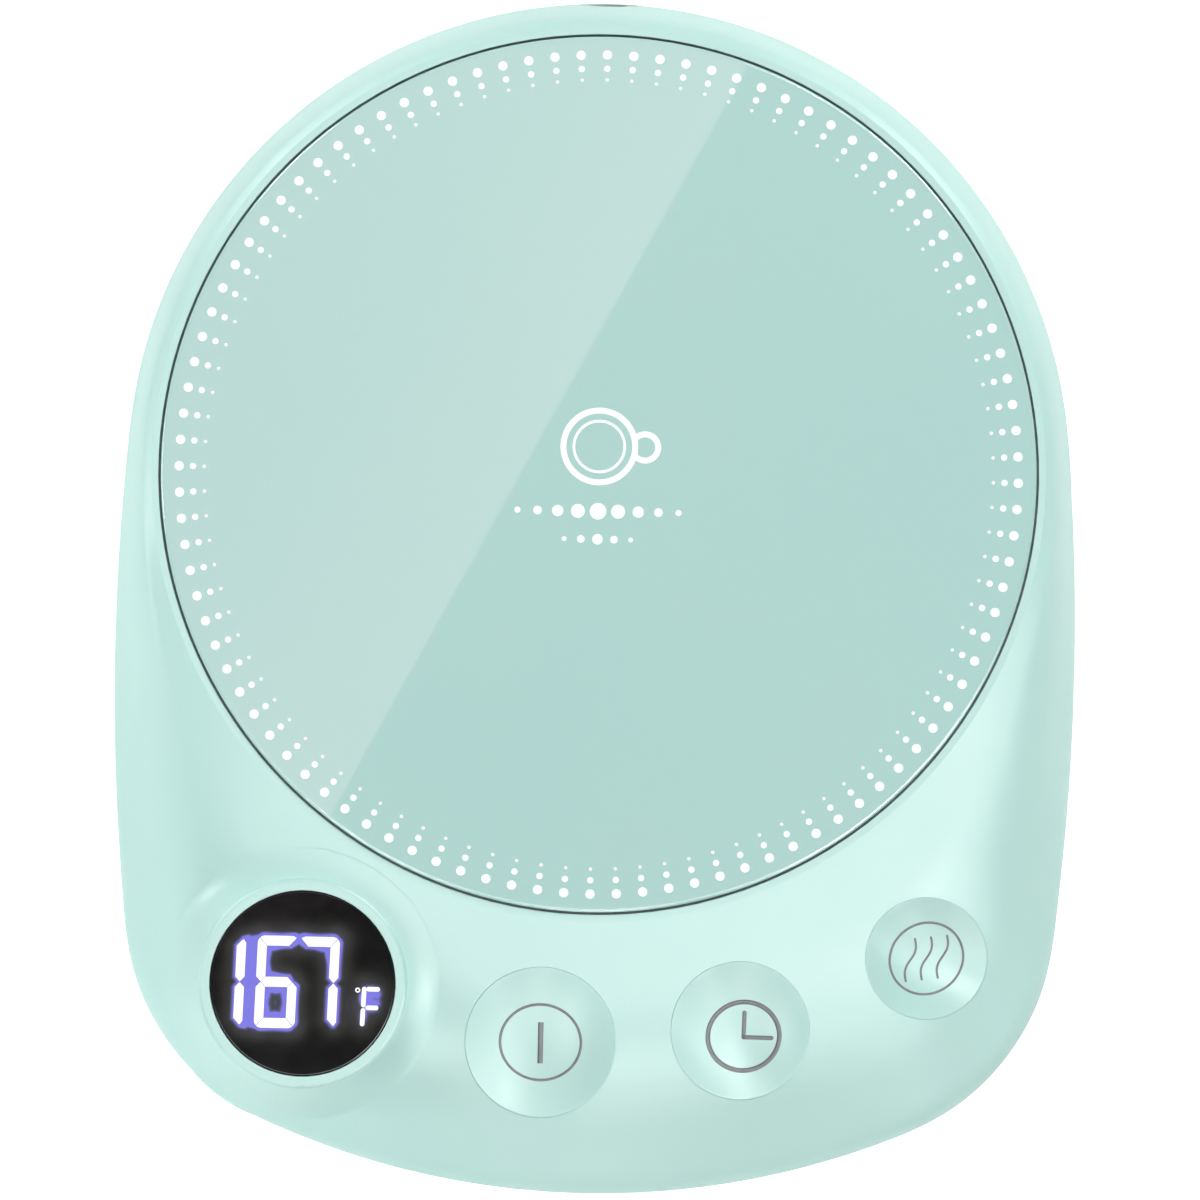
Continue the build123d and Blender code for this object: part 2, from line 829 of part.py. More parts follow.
save("power_board", power_board())
save("power_board_screws", Compound(children=[
    screw_down(x, y, board_top, board_screw_length) for x, y in power_posts()]))
for name, (width, depth, height, x, y) in block_sizes.items():
    save(name, board_block(width, depth, height, x, y))
save("smoothing_capacitor", smoothing_capacitor())
save("power_header", link_header(link_ends()[0]))
save("control_header", link_header(link_ends()[1]))
save("link_cable", link_cable())
save("control_chip", board_block(chip_size, chip_size, chip_height, chip_x, chip_y))
save("heater_wires", heater_wires())
save("cover_screws", Compound(children=[cover_screw(x, y) for x, y in cover_screw_places]))
for name, (x, y) in foot_places.items():
    save(name, foot(x, y))
save("cord_grommet", cord_grommet())
save("cord_clamp", cord_clamp())
save("cord_clamp_screws", Compound(children=[
    screw_down(side * clamp_screw_place, clamp_y, clamp_top, clamp_screw_length)
    for side in (-1, 1)]))
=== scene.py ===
import bmesh
import bpy
import json
import math
import numpy as np
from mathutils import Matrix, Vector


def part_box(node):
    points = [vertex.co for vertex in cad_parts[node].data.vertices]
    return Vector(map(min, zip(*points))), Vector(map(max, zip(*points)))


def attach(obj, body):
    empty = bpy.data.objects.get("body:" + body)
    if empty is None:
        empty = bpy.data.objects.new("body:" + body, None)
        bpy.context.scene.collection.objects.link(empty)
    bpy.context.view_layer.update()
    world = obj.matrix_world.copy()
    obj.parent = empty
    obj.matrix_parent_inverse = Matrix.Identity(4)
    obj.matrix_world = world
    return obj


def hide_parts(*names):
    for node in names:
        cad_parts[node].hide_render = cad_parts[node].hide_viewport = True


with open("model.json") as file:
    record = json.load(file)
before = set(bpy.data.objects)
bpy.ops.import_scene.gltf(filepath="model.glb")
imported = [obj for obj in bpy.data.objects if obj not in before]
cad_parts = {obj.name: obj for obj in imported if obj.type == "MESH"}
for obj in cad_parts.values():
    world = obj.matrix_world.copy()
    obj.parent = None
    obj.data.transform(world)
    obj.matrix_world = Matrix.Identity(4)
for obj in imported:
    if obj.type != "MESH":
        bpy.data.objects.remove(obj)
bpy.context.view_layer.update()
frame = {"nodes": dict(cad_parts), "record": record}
cadNodes = frame["nodes"]
mm = 0.001
print("frame loaded:", len(cadNodes), "nodes")

# ---- places and forms shared by several pieces, in mm from the axis of the hot plate

case = {
    "rearRadius": 54.0, "halfWidth": 55.0, "sideRadius": 274.0, "cornerRadius": 27.0,
    "frontRadius": 92.5, "frontReach": 82.3, "lipRadius": 51.1, "lipHeight": 23.5,
    "deckRun": 16.8, "deckDrop": 1.7, "deckBend": 26.0, "edgeHeight": 7.4, "edgeBend": 6.0,
}
# x, y and radius of each dish
buttonPlaces = {"power": (-5.3, -65.0, 8.6), "timer": (17.5, -63.2, 7.9), "heat": (38.6, -54.5, 6.95)}
displayMiddle = (-32.6, -58.8)
dishDepth = 3.0
plateMiddle = (np.array(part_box("glass_plate")[0]) + np.array(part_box("glass_plate")[1])) / 2
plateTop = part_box("glass_plate")[1][2] / mm
lensLow, lensHigh = (np.array(corner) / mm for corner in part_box("display_lens"))


def placed(points):
    # from mm round the plate's axis to metres in the warmer's frame
    return points * mm + np.array([plateMiddle[0], plateMiddle[1], 0.0])


# ---- meshes from arrays

def gridFaces(rows, columns, closeRows=False, closeColumns=False):
    # four-sided faces of a grid whose points are numbered row by row; a closed way joins its last line
    # to its first
    row = np.arange(rows if closeRows else rows - 1)
    column = np.arange(columns if closeColumns else columns - 1)
    i, j = np.meshgrid(row, column, indexing="ij")
    below, beside = (i + 1) % rows, (j + 1) % columns
    corners = (i * columns + j, i * columns + beside, below * columns + beside, below * columns + j)
    return np.stack(corners, axis=-1).reshape(-1, 4)


def meshPiece(name, points, faces, material, body="root", smooth=True, values=None):
    mesh = bpy.data.meshes.new(name)
    mesh.from_pydata(placed(points), [], [list(face) for face in faces])
    mesh.polygons.foreach_set("use_smooth", np.full(len(mesh.polygons), smooth))
    for key, numbers in (values or {}).items():
        mesh.attributes.new(key, "FLOAT", "POINT").data.foreach_set("value", numbers)
    mesh.materials.append(material)
    mesh.update()
    piece = bpy.data.objects.new(name, mesh)
    bpy.context.collection.objects.link(piece)
    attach(piece, body)
    return piece


def sharpened(piece, degrees):
    # edges that turn by more than the angle stay crisp, the rest shade smooth
    mesh = piece.data
    shape = bmesh.new()
    shape.from_mesh(mesh)
    for edge in shape.edges:
        edge.smooth = edge.is_manifold and edge.calc_face_angle() < math.radians(degrees)
    shape.to_mesh(mesh)
    shape.free()


# ---- the casing's outer form, for what is printed on it

def tangentArcs():
    # bearing of each arc's end, its centre and its radius; neighbours touch because their centres lie
    # as far apart as the difference of their radii
    c = case
    sideY = -math.sqrt((c["sideRadius"] - c["rearRadius"]) ** 2 - (c["sideRadius"] - c["halfWidth"]) ** 2)
    side = np.array([c["halfWidth"] - c["sideRadius"], sideY])
    front = np.array([0.0, c["frontRadius"] - c["frontReach"]])
    toFront = front - side
    apart = np.linalg.norm(toFront)
    reachSide, reachFront = c["sideRadius"] - c["cornerRadius"], c["frontRadius"] - c["cornerRadius"]
    along = (reachSide ** 2 - reachFront ** 2 + apart ** 2) / (2 * apart)
    across = math.sqrt(reachSide ** 2 - along ** 2)
    way = toFront / apart
    corner = side + way * along + np.array([way[1], -way[0]]) * across
    ends = (
        side * -c["rearRadius"] / np.linalg.norm(side),
        corner + (corner - side) / np.linalg.norm(corner - side) * c["cornerRadius"],
        corner + (corner - front) / np.linalg.norm(corner - front) * c["cornerRadius"],
    )
    bearings = [math.atan2(abs(end[0]), end[1]) for end in ends] + [math.pi + 1]
    centres = (np.zeros(2), side, corner, front)
    radii = (c["rearRadius"], c["sideRadius"], c["cornerRadius"], c["frontRadius"])
    return list(zip(bearings, centres, radii))


def edgeDistance(x, y):
    # distance from the plate's axis to the outline in the direction u of each point, from each arc's
    # centre c and radius r: u.c + sqrt((u.c)^2 + r^2 - c.c)
    reach = np.hypot(x, y)
    across, along = np.abs(x) / reach, y / reach
    bearing = np.arctan2(across, along)
    result = np.zeros_like(reach)
    start = 0.0
    for end, centre, radius in tangentArcs():
        near = across * centre[0] + along * centre[1]
        far = near + np.sqrt(np.maximum(near ** 2 + radius ** 2 - centre @ centre, 0))
        result = np.where((bearing >= start) & (bearing < end), far, result)
        start = end
    return result


def cornerArc(before, corner, after, radius, steps=60):
    # arc of that radius tangent to both runs at a corner: its middle, plus radii turned evenly from p to q
    a, b, c = (np.array(place, float) for place in (before, corner, after))
    u, v = (a - b) / np.linalg.norm(a - b), (c - b) / np.linalg.norm(c - b)
    half = math.acos(float(u @ v)) / 2
    middle = b + (u + v) / np.linalg.norm(u + v) * radius / math.sin(half)
    first, last = b + u * radius / math.tan(half), b + v * radius / math.tan(half)
    p, q = first - middle, last - middle
    turn = math.acos(float(p @ q) / radius ** 2)
    share = np.linspace(0, 1, steps)[:, None]
    return middle + (np.sin((1 - share) * turn) * p + np.sin(share * turn) * q) / math.sin(turn)


def deckHeight(x, y):
    # height of the deck: the fall along the middle line, read at the point's share of the way from
    # the lip to the edge
    c = case
    run = c["frontReach"] - c["lipRadius"]
    bendHeight = c["lipHeight"] - c["deckDrop"]
    stops = [(0, c["lipHeight"]), (c["deckRun"], bendHeight), (run, c["edgeHeight"]), (run, 0)]
    line = np.vstack([[stops[0]], cornerArc(*stops[:3], c["deckBend"]), cornerArc(*stops[1:], c["edgeBend"])])
    share = (np.hypot(x, y) - c["lipRadius"]) / (edgeDistance(x, y) - c["lipRadius"])
    return np.interp(share * run, line[:, 0], line[:, 1])


def dishHeight(name, x, y):
    # the deck, less a bowl that is deepest in the cap's middle: depth (1 - (distance / radius)^2)
    middleX, middleY, radius = buttonPlaces[name]
    off = ((x - middleX) ** 2 + (y - middleY) ** 2) / radius ** 2
    return deckHeight(x, y) - dishDepth * (1 - off)


# ---- materials; their tints are screen colours, 0 to 255

def tint(red, green, blue):
    # a screen colour as the linear values that shaders take
    shade = np.array([red, green, blue]) / 255
    linear = np.where(shade <= 0.04045, shade / 12.92, ((shade + 0.055) / 1.055) ** 2.4)
    return (*linear.tolist(), 1.0)


def addNode(tree, kind, inputs=None, **settings):
    node = tree.nodes.new(kind)
    for key, value in settings.items():
        setattr(node, key, value)
    for key, value in (inputs or {}).items():
        if isinstance(value, bpy.types.NodeSocket):
            tree.links.new(value, node.inputs[key])
        else:
            node.inputs[key].default_value = value
    return node


def surface(name, inputs):
    # a Principled material whose fixed values sit on the shader's own sockets
    material = bpy.data.materials.new(name)
    material.use_nodes = True
    tree = material.node_tree
    shader = tree.nodes["Principled BSDF"]
    for key, value in inputs.items():
        shader.inputs[key].default_value = value
    place = addNode(tree, "ShaderNodeTexCoord").outputs["Object"]
    return material, tree, shader, place


def ramp(tree, fac, *stops):
    # colour ramp through (place, tint) stops
    node = addNode(tree, "ShaderNodeValToRGB", {"Fac": fac})
    elements = node.color_ramp.elements
    while len(elements) < len(stops):
        elements.new(0.5)
    for element, (place, shade) in zip(elements, stops):
        element.position, element.color = place, tint(*shade)
    return node.outputs["Color"]


mottleSpread = (0.35, 0.65)  # where the noise has its first and its second tint


def mottled(tree, place, tints, patches):
    # two tints mixed by soft noise, with so many patches to the metre
    noise = addNode(tree, "ShaderNodeTexNoise", {"Vector": place, "Scale": patches, "Detail": 3.0})
    return ramp(tree, noise.outputs["Fac"], *zip(mottleSpread, tints))


def grained(tree, place, shader, grain, relief, detail=2.0):
    # fine relief from noise: grains to the metre and their height in metres
    noise = addNode(tree, "ShaderNodeTexNoise", {"Vector": place, "Scale": grain, "Detail": detail})
    bump = addNode(tree, "ShaderNodeBump", {"Height": noise.outputs["Fac"], "Distance": relief})
    tree.links.new(bump.outputs["Normal"], shader.inputs["Normal"])
    return noise.outputs["Fac"]


def varied(tree, shader, fac, rough):
    # roughness that follows a pattern between two values
    span = addNode(tree, "ShaderNodeMapRange", {"Value": fac, "To Min": rough[0], "To Max": rough[1]})
    tree.links.new(span.outputs["Result"], shader.inputs["Roughness"])


# patches, flakes and grain are counted to the metre, relief is in metres, rough is the least and the most
grainedFinishes = {
    # satin moulded plastic: nearly even colour, very fine spark-eroded grain
    "mintPlastic": {"shader": {"Coat Weight": 0.08, "Coat Roughness": 0.3, "IOR": 1.48},
                    "tints": ((193, 236, 228), (197, 239, 231)), "patches": 45,
                    "grain": 2600, "relief": 0.000004, "rough": (0.38, 0.46)},
    "darkSilicone": {"shader": {"Specular IOR Level": 0.3}, "tints": ((60, 75, 73), (74, 90, 88)),
                     "patches": 600, "grain": 1800, "relief": 0.00001, "rough": (0.5, 0.7)},
    "footRubber": {"shader": {"Specular IOR Level": 0.3}, "tints": ((196, 210, 207), (208, 220, 217)),
                   "patches": 500, "grain": 2200, "relief": 0.00002, "rough": (0.6, 0.8)},
    # the rolling lines run along X, so the noise is stretched that way
    "rolledAluminium": {"shader": {"Metallic": 1.0}, "stretch": (20.0, 900.0, 900.0),
                        "tints": ((196, 198, 202), (216, 218, 221)), "patches": 3.0,
                        "grain": 4.0, "relief": 0.000004, "rough": (0.25, 0.45)},
    # plated steel with faint spangles
    "zincSteel": {"shader": {"Metallic": 1.0}, "tints": ((160, 164, 168), (190, 193, 197)), "flakes": 700.0,
                  "grain": 1500, "relief": 0.000006, "rough": (0.28, 0.42)},
    "micaSheet": {"shader": {"Coat Weight": 0.3}, "tints": ((176, 154, 110), (204, 184, 138)),
                  "flakes": 350.0, "grain": 900, "relief": 0.00001, "rough": (0.35, 0.55)},
    "ceramicFibre": {"shader": {"Specular IOR Level": 0.2, "Sheen Weight": 0.3},
                     "tints": ((226, 223, 214), (240, 238, 231)), "patches": 1200,
                     "grain": 1600, "relief": 0.00008, "detail": 5.0, "rough": (0.85, 1.0)},
    "whiteNylon": {"shader": {"Subsurface Weight": 0.05}, "tints": ((226, 226, 222), (236, 236, 232)),
                   "patches": 200, "grain": 2000, "relief": 0.000008, "rough": (0.4, 0.5)},
    "blackMoulding": {"shader": {"Specular IOR Level": 0.4}, "tints": ((28, 28, 29), (38, 38, 39)),
                      "patches": 400, "grain": 2500, "relief": 0.00001, "rough": (0.45, 0.6)},
    "goldFlash": {"shader": {"Metallic": 1.0}, "tints": ((214, 178, 96), (228, 194, 116)), "patches": 900,
                  "grain": 2500, "relief": 0.000004, "rough": (0.2, 0.3)},
    # printed inks, a little uneven where they are thin; the white one has a faint painted glow, added so that
    # it stays white
    "whiteInkPaintedGlow": {"shader": {"Specular IOR Level": 0.35, "Emission Strength": 0.13,
                            "Emission Color": (1, 1, 1, 1)},
                 "tints": ((244, 250, 249), (252, 255, 254)), "patches": 1500,
                 "grain": 3000, "relief": 0.000002, "rough": (0.4, 0.55)},
    "greyInk": {"shader": {"Specular IOR Level": 0.35}, "tints": ((122, 125, 127), (130, 133, 135)),
                "patches": 1500, "grain": 3000, "relief": 0.000002, "rough": (0.4, 0.55)},
}


def grainedFinish(name):
    # two tints in soft patches or in flakes, fine grain, and a roughness that follows the grain
    f = grainedFinishes[name]
    material, tree, shader, place = surface(name, f["shader"])
    if "stretch" in f:
        place = addNode(tree, "ShaderNodeMapping", {"Vector": place, "Scale": f["stretch"]}).outputs["Vector"]
    if "flakes" in f:
        flakes = addNode(tree, "ShaderNodeTexVoronoi", {"Vector": place, "Scale": f["flakes"]})
        colour = ramp(tree, flakes.outputs["Color"], *zip((0, 1), f["tints"]))
    else:
        colour = mottled(tree, place, f["tints"], f["patches"])
    tree.links.new(colour, shader.inputs["Base Color"])
    grain = grained(tree, place, shader, f["grain"], f["relief"], f.get("detail", 2.0))
    varied(tree, shader, grain, f["rough"])
    return material


glassPaint = {"tints": ((189, 229, 223), (190, 230, 223)), "patches": 30, "specks": 900.0,
              "rough": (0.55, 0.7)}


def printedGlass():
    # clear glass over a matt coat of paint on its underside
    g = glassPaint
    material, tree, shader, place = surface("printedGlass", {
        "Coat Weight": 1.0, "Coat Roughness": 0.015, "Coat IOR": 1.52, "Specular IOR Level": 0.1})
    tree.links.new(mottled(tree, place, g["tints"], g["patches"]), shader.inputs["Base Color"])
    speck = addNode(tree, "ShaderNodeTexNoise", {"Vector": place, "Scale": g["specks"], "Detail": 2.0})
    varied(tree, shader, speck.outputs["Fac"], g["rough"])
    return material


boardPrint = {"mask": ((24, 92, 54), (28, 98, 58)), "track": (58, 132, 84), "scale": 160.0,
              "trackWidth": 0.03, "grain": 1500, "relief": 0.000006, "rough": (0.3, 0.4)}


def circuitBoard():
    # green mask over a web of copper tracks, drawn by a brick pattern's joints
    b = boardPrint
    material, tree, shader, place = surface("circuitBoard", {"Coat Weight": 0.4, "Coat Roughness": 0.2})
    tracks = addNode(tree, "ShaderNodeTexBrick", {
        "Vector": place, "Scale": b["scale"], "Mortar Size": b["trackWidth"], "Mortar": tint(*b["track"]),
        "Color1": tint(*b["mask"][0]), "Color2": tint(*b["mask"][1])})
    tree.links.new(tracks.outputs["Color"], shader.inputs["Base Color"])
    varied(tree, shader, grained(tree, place, shader, b["grain"], b["relief"]), b["rough"])
    return material


sleeve = {"tints": ((216, 213, 202), (232, 229, 219)), "patches": 900, "braid": 900.0, "relief": 0.00006,
          "rough": (0.6, 0.8)}


def glassSleeve():
    # woven sleeve, its braid drawn by slanting waves
    s = sleeve
    material, tree, shader, place = surface("glassSleeve", {"Specular IOR Level": 0.3, "Sheen Weight": 0.2})
    tree.links.new(mottled(tree, place, s["tints"], s["patches"]), shader.inputs["Base Color"])
    braid = addNode(tree, "ShaderNodeTexWave", {"Vector": place, "Scale": s["braid"]},
                    bands_direction="DIAGONAL")
    bump = addNode(tree, "ShaderNodeBump", {"Height": braid.outputs["Fac"], "Distance": s["relief"]})
    tree.links.new(bump.outputs["Normal"], shader.inputs["Normal"])
    varied(tree, shader, braid.outputs["Fac"], s["rough"])
    return material


digitLook = {"face": (20, 20, 24), "light": ((250, 250, 255), (255, 255, 255)), "patches": 500}


def litDigit():
    # dark face with a nearly even white light
    d = digitLook
    material, tree, shader, place = surface("litDigit", {
        "Emission Strength": 1.0, "Roughness": 0.3, "Base Color": tint(*d["face"])})
    light = mottled(tree, place, d["light"], d["patches"])
    tree.links.new(light, shader.inputs["Emission Color"])
    return material


windowLook = {
    "tints": ((18, 18, 19), (22, 22, 23)), "patches": 60, "specks": 700.0, "rough": (0.05, 0.1),
    "farGlow": ((0, (0, 0, 0)), (0.13, (34, 34, 31)), (0.3, (52, 52, 52)), (0.55, (62, 62, 70))),
    "nearGlow": ((0.5, (0, 0, 0)), (0.7, (36, 36, 54)), (0.86, (80, 78, 144)), (0.98, (114, 110, 222))),
}


def smokedWindow():
    # polished black window; the light that spills round the digits is read from the mesh, grey far off
    # and violet near them
    w = windowLook
    material, tree, shader, place = surface("smokedWindow", {"Emission Strength": 1.0, "IOR": 1.5})
    grey, violet = (
        ramp(tree, addNode(tree, "ShaderNodeAttribute", attribute_name=glow).outputs["Fac"], *w[glow])
        for glow in ("farGlow", "nearGlow"))
    both = addNode(tree, "ShaderNodeMixRGB", {"Fac": 1.0, "Color1": grey, "Color2": violet}, blend_type="ADD")
    tree.links.new(both.outputs["Color"], shader.inputs["Emission Color"])
    tree.links.new(mottled(tree, place, w["tints"], w["patches"]), shader.inputs["Base Color"])
    speck = addNode(tree, "ShaderNodeTexNoise", {"Vector": place, "Scale": w["specks"]})
    varied(tree, shader, speck.outputs["Fac"], w["rough"])
    return material


finishes = {
    "shell_plastic": grainedFinish("mintPlastic"), "printed_glass": printedGlass(),
    "dark_silicone": grainedFinish("darkSilicone"), "aluminium": grainedFinish("rolledAluminium"),
    "mica": grainedFinish("micaSheet"), "ceramic_fibre": grainedFinish("ceramicFibre"),
    "steel": grainedFinish("zincSteel"), "smoked_window": smokedWindow(),
    "white_plastic": grainedFinish("whiteNylon"), "circuit_board": circuitBoard(),
    "brass": grainedFinish("goldFlash"), "black_plastic": grainedFinish("blackMoulding"),
    "cable_sleeve": glassSleeve(), "foot_rubber": grainedFinish("footRubber"),
}
# the white ink carries a faint painted glow as well as its own white colour
whiteInkPaintedGlow, greyInk = grainedFinish("whiteInkPaintedGlow"), grainedFinish("greyInk")
for part in frame["record"]["subparts"]:
    for holder in cadNodes[part["node"]].material_slots:
        holder.material = finishes[part["material_slot"]]
print("finishes on the casing and inner pieces:", len(finishes))

# ---- glass plate with its printed dots and motif

plateShape = {"radius": 50.0, "edgeRound": 0.35, "hold": 0.04, "thickness": 3.2, "inkDepth": 0.015,
              "flatSteps": 12, "edgeSteps": 9, "underSteps": 6, "turns": 256}
dotRing = {"rays": 100, "radii": (47.91, 46.33, 45.06), "sizes": (0.54, 0.37, 0.20), "sides": 20}
printDepth = plateShape["inkDepth"] * 1.5  # so that the ink stands in the glass


def turned(radii, heights, turns):
    # profile turned about an upright axis: x = r cos a, y = r sin a; its first and last points lie on
    # the axis, it runs from the top pole out and down to the bottom pole, and its heights may differ
    # round each ring
    angle = np.linspace(0, 2 * np.pi, turns, endpoint=False)
    across, along = np.outer(radii[1:-1], np.cos(angle)), np.outer(radii[1:-1], np.sin(angle))
    tall = np.broadcast_to(np.asarray(heights[1:-1], float).reshape(len(across), -1), across.shape)
    rings = np.stack([across, along, tall], axis=-1).reshape(-1, 3)
    rows = len(across)
    top, bottom = rows * turns, rows * turns + 1
    around = np.arange(turns)
    after = (around + 1) % turns
    last = (rows - 1) * turns
    faces = gridFaces(rows, turns, closeColumns=True)[:, ::-1].tolist()
    faces += np.column_stack([np.full(turns, top), around, after]).tolist()
    faces += np.column_stack([np.full(turns, bottom), last + after, last + around]).tolist()
    poles = [[0, 0, np.mean(heights[0])], [0, 0, np.mean(heights[-1])]]
    return np.vstack([rings, poles]), faces


def glassTop():
    # flat top, quarter-round edge, upright side and flat underside; a ring just inside the edge
    # keeps the shading of the top flat right up to it
    s = plateShape
    top = plateTop - s["inkDepth"]
    bend = np.linspace(0, np.pi / 2, s["edgeSteps"])
    inner = s["radius"] - s["edgeRound"]
    flat = np.append(np.linspace(0, inner, s["flatSteps"])[:-1], inner - s["hold"])
    under = np.linspace(s["radius"], 0, s["underSteps"])
    radii = np.concatenate([flat, inner + s["edgeRound"] * np.sin(bend), under])
    heights = np.concatenate([np.full(len(flat), top), top - s["edgeRound"] * (1 - np.cos(bend)),
                              np.full(len(under), plateTop - s["thickness"])])
    points, faces = turned(radii, heights, s["turns"])
    piece = meshPiece("glassTop", points, faces, finishes["printed_glass"])
    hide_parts("glass_plate")


def discs(middles, sizes, sides, top, depth):
    # thin round plates: points of every disc as one array, middle + size (cos a, sin a)
    angle = np.linspace(0, 2 * np.pi, sides, endpoint=False)
    circle = np.stack([np.cos(angle), np.sin(angle)], axis=-1)
    flat = middles[:, None, :] + sizes[:, None, None] * circle[None]
    upper = np.dstack([flat, np.full(flat.shape[:2], top)])
    lower = np.dstack([flat, np.full(flat.shape[:2], top - depth)])
    points = np.concatenate([upper, lower], axis=1).reshape(-1, 3)
    first = (np.arange(len(middles)) * 2 * sides)[:, None]
    around = np.arange(sides)
    after = (around + 1) % sides
    lids = (first + around).tolist()
    floors = (first + sides + around[::-1]).tolist()
    walls = np.stack([first + around, first + sides + around, first + sides + after, first + after], axis=-1)
    return points, lids + floors + walls.reshape(-1, 4).tolist()


def plateDots():
    # rows of dots that shrink inwards, their middles at r (cos a, sin a) on each of the rays
    s = dotRing
    angle = np.pi / 2 + np.arange(s["rays"]) * 2 * np.pi / s["rays"]
    middles = np.concatenate([np.stack([r * np.cos(angle), r * np.sin(angle)], axis=-1) for r in s["radii"]])
    sizes = np.repeat(s["sizes"], s["rays"])
    points, faces = discs(middles, sizes, s["sides"], plateTop, printDepth)
    piece = meshPiece("plateDots", points, faces, whiteInkPaintedGlow, smooth=False)


def ribbon(path, halfWidth, height, depth, closed=False, square=False):
    # a line of ink along a path: the path's points moved sideways by the width, with round ends
    # unless they are to be square, and its top at height(x, y); each step has six points, the left,
    # middle and right one above and the same below
    step = np.gradient(path, axis=0)
    if closed:
        step = (np.roll(path, -1, axis=0) - np.roll(path, 1, axis=0)) / 2
    along = step / np.linalg.norm(step, axis=1)[:, None]
    sideways = np.stack([-along[:, 1], along[:, 0]], axis=-1)
    width = np.full(len(path), halfWidth)
    if not closed and not square:
        run = np.concatenate([[0], np.cumsum(np.linalg.norm(np.diff(path, axis=0), axis=1))])
        near = np.minimum(np.minimum(run, run[-1] - run), halfWidth)
        blunt = halfWidth * 0.05  # half the width of the very tip
        width = np.sqrt(np.maximum(halfWidth ** 2 - (halfWidth - near) ** 2, blunt ** 2))
    left, right = path + sideways * width[:, None], path - sideways * width[:, None]
    rim = np.stack([left, path, right, right, path, left], axis=1)
    drop = np.array([0, 0, 0, depth, depth, depth])
    tall = height(rim[..., 0], rim[..., 1]) - drop
    points = np.dstack([rim, tall]).reshape(-1, 3)
    faces = gridFaces(len(path), 6, closeRows=closed, closeColumns=True).tolist()
    if not closed:
        last = (len(path) - 1) * 6
        faces += [[0, 1, 4, 5], [1, 2, 3, 4],
                  [last + 5, last + 4, last + 1, last], [last + 4, last + 3, last + 2, last + 1]]
    return points, faces


def circlePath(x, y, radius, start=0.0, sweep=360.0, steps=96):
    # points at middle + radius (cos a, sin a); a full sweep leaves out its last point
    angle = np.radians(np.linspace(start, start + sweep, steps, endpoint=sweep < 360))
    return np.stack([x + radius * np.cos(angle), y + radius * np.sin(angle)], axis=-1)


def linePath(start, end, halfWidth, steps=24):
    # straight path, longer by half a width at each end for the round tips, with its points gathered at
    # the tips: share = (1 - cos t) / 2
    a, b = np.array(start, float), np.array(end, float)
    way = (b - a) / np.linalg.norm(b - a)
    a, b = a - way * halfWidth, b + way * halfWidth
    share = (1 - np.cos(np.linspace(0, np.pi, steps))) / 2
    return a + share[:, None] * (b - a)


def joined(parts):
    # several meshes as one: points stacked, face numbers moved on
    points, faces, count = [], [], 0
    for somePoints, someFaces in parts:
        points.append(somePoints)
        faces += [[corner + count for corner in face] for face in someFaces]
        count += len(somePoints)
    return np.vstack(points), faces


# handleArc: first angle, sweep and steps
motif = {"cupY": 3.2, "cupRadius": 4.1, "brimWidth": 0.34, "drinkRadius": 2.9, "drinkWidth": 0.16,
         "handleRadius": 1.5, "handleOut": 0.75, "handleDrop": 0.004, "handleArc": (-140, 280, 40),
         "rowY": (-4.2, -7.4), "rowStep": (2.3, 1.9), "rowCount": (9, 5),
         "rowSizes": ((0.35, 0.95), (0.28, 0.6)), "beadSides": 32}


def plateMotif():
    # a cup seen from above over two rows of beads that swell towards the middle
    m = motif
    flat = lambda x, y: np.full(x.shape, plateTop)
    handleX = m["cupRadius"] + m["handleRadius"] * m["handleOut"]
    parts = [
        ribbon(circlePath(0, m["cupY"], m["cupRadius"]), m["brimWidth"], flat, printDepth, closed=True),
        ribbon(circlePath(0, m["cupY"], m["drinkRadius"]), m["drinkWidth"], flat, printDepth, closed=True),
        ribbon(circlePath(handleX, m["cupY"], m["handleRadius"], *m["handleArc"]), m["brimWidth"],
               lambda x, y: flat(x, y) - m["handleDrop"], printDepth),
    ]
    for y, step, count, (small, large) in zip(m["rowY"], m["rowStep"], m["rowCount"], m["rowSizes"]):
        place = np.arange(count) - (count - 1) / 2
        size = large - (large - small) * np.abs(place) / place.max()
        middles = np.stack([place * step, np.full(count, y)], axis=-1)
        parts.append(discs(middles, size, m["beadSides"], plateTop, printDepth))
    points, faces = joined(parts)
    piece = meshPiece("plateMotif", points, faces, whiteInkPaintedGlow, smooth=False)


glassTop()
plateDots()
plateMotif()
print("glass plate printed")

# ---- symbols on the three caps

capShape = {"gap": 0.025, "edgeRound": 0.12, "wall": 1.2, "roof": 1.4, "bottom": 11.7, "stem": 2.0,
            "stemBottom": 11.0, "earReach": 1.1, "earWidth": 4.0, "earThick": 1.0, "earRoot": 0.6,
            "crease": 50, "dishSteps": 40, "rimSteps": 5, "roofSteps": 14, "turns": 200}
boreClearance = 0.06


def capEar(x, y, radius, side):
    # block under the skirt that points along the rim of the plate: its four corners lie at
    # way * near or far, plus and minus half the width across
    c = capShape
    near, far = radius - c["earRoot"], radius + c["earReach"]
    turn = math.atan2(y, x) + math.pi / 2
    way = np.array([math.cos(turn), math.sin(turn)]) * side
    across = np.array([-way[1], way[0]]) * c["earWidth"] / 2
    flat = np.array([way * near - across, way * far - across, way * far + across, way * near + across])
    points = np.vstack([np.column_stack([flat + [x, y], np.full(4, height)])
                        for height in (c["bottom"], c["bottom"] + c["earThick"])])
    return points, [[3, 2, 1, 0], [4, 5, 6, 7], [0, 1, 5, 4], [1, 2, 6, 5], [2, 3, 7, 6], [3, 0, 4, 7]]


